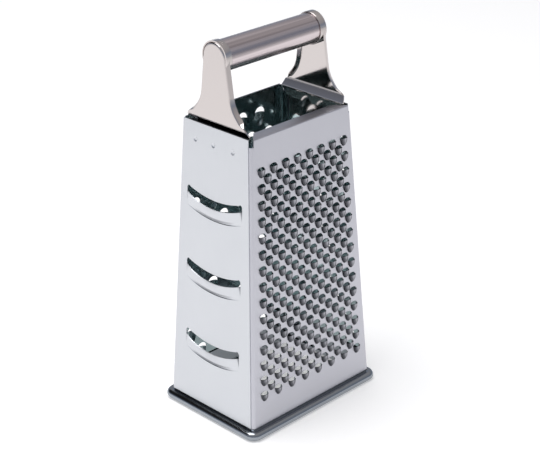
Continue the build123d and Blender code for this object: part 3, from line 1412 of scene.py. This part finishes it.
@dataclass
class Studio:
    """Camera, floor, lamp and surroundings, in metres."""

    lens: float = 100.0
    sensor: float = 36.0
    clip: tuple[float, float] = (0.05, 20.0)
    camera_spot: Point = (-0.5771, -0.5943, 0.4961)
    camera_back: Point = (-0.6331, -0.6507, 0.4191)
    camera_roll: float = -0.0154
    floor_reach: float = 6.0
    floor_colour: str = "#efefef"
    floor_roughness: float = 0.9
    floor_glow: float = 0.34
    lamp_spot: Point = (-0.4, 0.3, 1.7)
    lamp_aim: Point = (0.0, 0.0, 0.1)
    lamp_size: float = 1.2
    lamp_watts: float = 21.0
    room: tuple[tuple[float, str], ...] = (
        (0.0, "#bcc2ca"), (0.28, "#8e98aa"), (0.42, "#a4a6ac"), (0.66, "#b6b4b6"), (0.85, "#c4c2c2")
    )
    screen_way: Point = (-0.3, 0.65, 0.7)
    screen_range: tuple[float, float] = (0.8, 0.92)
    screen_share: float = 0.05

    def camera(self) -> None:
        """Place the camera at the photograph's viewing angle."""
        data = bpy.data.cameras.new("camera")
        data.lens = self.lens
        data.sensor_width = self.sensor
        data.clip_start, data.clip_end = self.clip
        camera = added("camera", data)
        back = Vector(self.camera_back).normalized()
        level = Vector((0, 0, 1)).cross(back).normalized()
        axes = Matrix((level, back.cross(level), back)).transposed().to_4x4()
        roll = Matrix.Rotation(self.camera_roll, 4, "Z")
        camera.matrix_world = Matrix.Translation(self.camera_spot) @ axes @ roll
        bpy.context.scene.camera = camera

    def floor(self) -> None:
        """Lay a plain pale floor that glows a little to the eye and in the metal."""
        spots = corners(self.floor_reach, self.floor_reach)
        floor = mesh_object("floor", spots, [(0, 1, 2, 3)])
        material = bpy.data.materials.new("pale_paper")
        material.use_nodes = True
        tree = material.node_tree
        shader = tree.nodes["Principled BSDF"]
        shader.inputs["Base Color"].default_value = linear(self.floor_colour)
        shader.inputs["Roughness"].default_value = self.floor_roughness
        shader.inputs["Emission Color"].default_value = (1, 1, 1, 1)
        rays = add_node(tree, "ShaderNodeLightPath").outputs
        glow = reckon(
            tree,
            {name: rays[f"Is {name} Ray"] for name in ("Camera", "Glossy", "Transmission")},
            (
                ("mirrored", "MAXIMUM", "Glossy", "Transmission"),
                ("seen", "MAXIMUM", "Camera", "mirrored"),
                ("glow", "MULTIPLY", "seen", self.floor_glow),
            ),
        )["glow"]
        tree.links.new(glow, shader.inputs["Emission Strength"])
        floor.data.materials.append(material)

    def lamp(self) -> None:
        """Hang the soft lamp."""
        data = bpy.data.lights.new("key", "AREA")
        data.size = self.lamp_size
        data.energy = self.lamp_watts
        lamp = added("key", data)
        lamp.location = self.lamp_spot
        aim = Vector(self.lamp_aim) - Vector(self.lamp_spot)
        lamp.rotation_euler = aim.to_track_quat("-Z", "Y").to_euler()

    def surroundings(self) -> None:
        """Light the room: pale walls, bluer low down, and a dark screen high at the left back."""
        world = bpy.data.worlds.new("surroundings")
        bpy.context.scene.world = world
        world.use_nodes = True
        tree = world.node_tree
        ray = add_node(tree, "ShaderNodeTexCoord").outputs["Generated"]
        height = add_node(tree, "ShaderNodeSeparateXYZ", None, {0: ray}).outputs["Z"]
        ramp = add_node(tree, "ShaderNodeValToRGB", None, {0: height})
        stops = ramp.color_ramp.elements
        while len(stops) < len(self.room):
            stops.new(0.5)
        for stop, (share, colour) in zip(stops, self.room):
            stop.position = share
            stop.color = linear(colour)
        inputs = {0: ray, 1: self.screen_way}
        facing = add_node(tree, "ShaderNodeVectorMath", {"operation": "DOT_PRODUCT"}, inputs)
        inputs = {
            "Value": facing.outputs["Value"], "From Min": self.screen_range[0],
            "From Max": self.screen_range[1], "To Min": 1.0, "To Max": self.screen_share,
        }
        smooth = {"interpolation_type": "SMOOTHSTEP"}
        screened = add_node(tree, "ShaderNodeMapRange", smooth, inputs).outputs[0]
        background = tree.nodes["Background"]
        tree.links.new(ramp.outputs[0], background.inputs["Color"])
        tree.links.new(screened, background.inputs["Strength"])


def main() -> None:
    """Dress the grater and light it."""
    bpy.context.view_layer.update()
    bpy.context.scene.view_settings.view_transform = "Standard"
    studio = Studio()
    studio.camera()
    studio.floor()
    studio.lamp()
    studio.surroundings()
    toothed, slicer, inside, ear_steel, tube_steel, rim_steel, plug_steel = (
        finish.material()
        for finish in (
            TOOTHED_SHEET, SLICER_SHEET, INSIDE, PRESSED_EAR, BRUSHED_TUBE, ROLLED_RIM, STAMPED_PLUG
        )
    )
    fine = GratingPanel(
        name="fine_toothed_panel", side=Side.FRONT,
        spread=Spread(columns=8, rows=29, top=162.0, bottom=20.5, share=0.807),
        tooth_width=5.6, tooth_lift=2.0, tooth_drop=5.2, tooth_mouth=1.6,
        top_edge=8.0, edge_radius=0.6, bend_relief=4.5,
    )
    coarse = GratingPanel(
        name="coarse_toothed_panel", side=Side.BACK,
        spread=Spread(columns=5, rows=11, top=165.6, bottom=17.6, share=0.70, short_first=1),
        tooth_width=8.4, tooth_lift=2.3, tooth_drop=8.6, tooth_mouth=4.4,
        top_edge=1.2, edge_radius=0.8, bend_relief=0.9,
    )
    for panel, finish, node in (
        (fine, toothed, "front_grating_panel"), (coarse, toothed, "back_grating_panel"),
        (SlicingPanel(), slicer, "left_slicing_panel"),
        (ZestingPanel(), slicer, "right_zesting_panel"),
    ):
        dress(panel.build(finish), (finish, inside), "panel_steel", node)
    left, right = EarBracket("left_ear", -1), EarBracket("right_ear", 1)
    for ear, node in ((left, "left_ear_bracket"), (right, "right_ear_bracket")):
        dress(ear.build(), (ear_steel,), "ear_steel", node)
    dress(HandleTube(left).build(), (tube_steel,), "tube_steel", "handle_tube")
    dress(BaseRim().build(rim_steel), (rim_steel,), "rim_steel", "base_rim")
    for name in ("left_tube_plug", "right_tube_plug"):
        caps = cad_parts[name].data.materials
        caps.clear()
        caps.append(plug_steel)


if __name__ == "__main__":
    logging.basicConfig(level=logging.INFO)
    main()
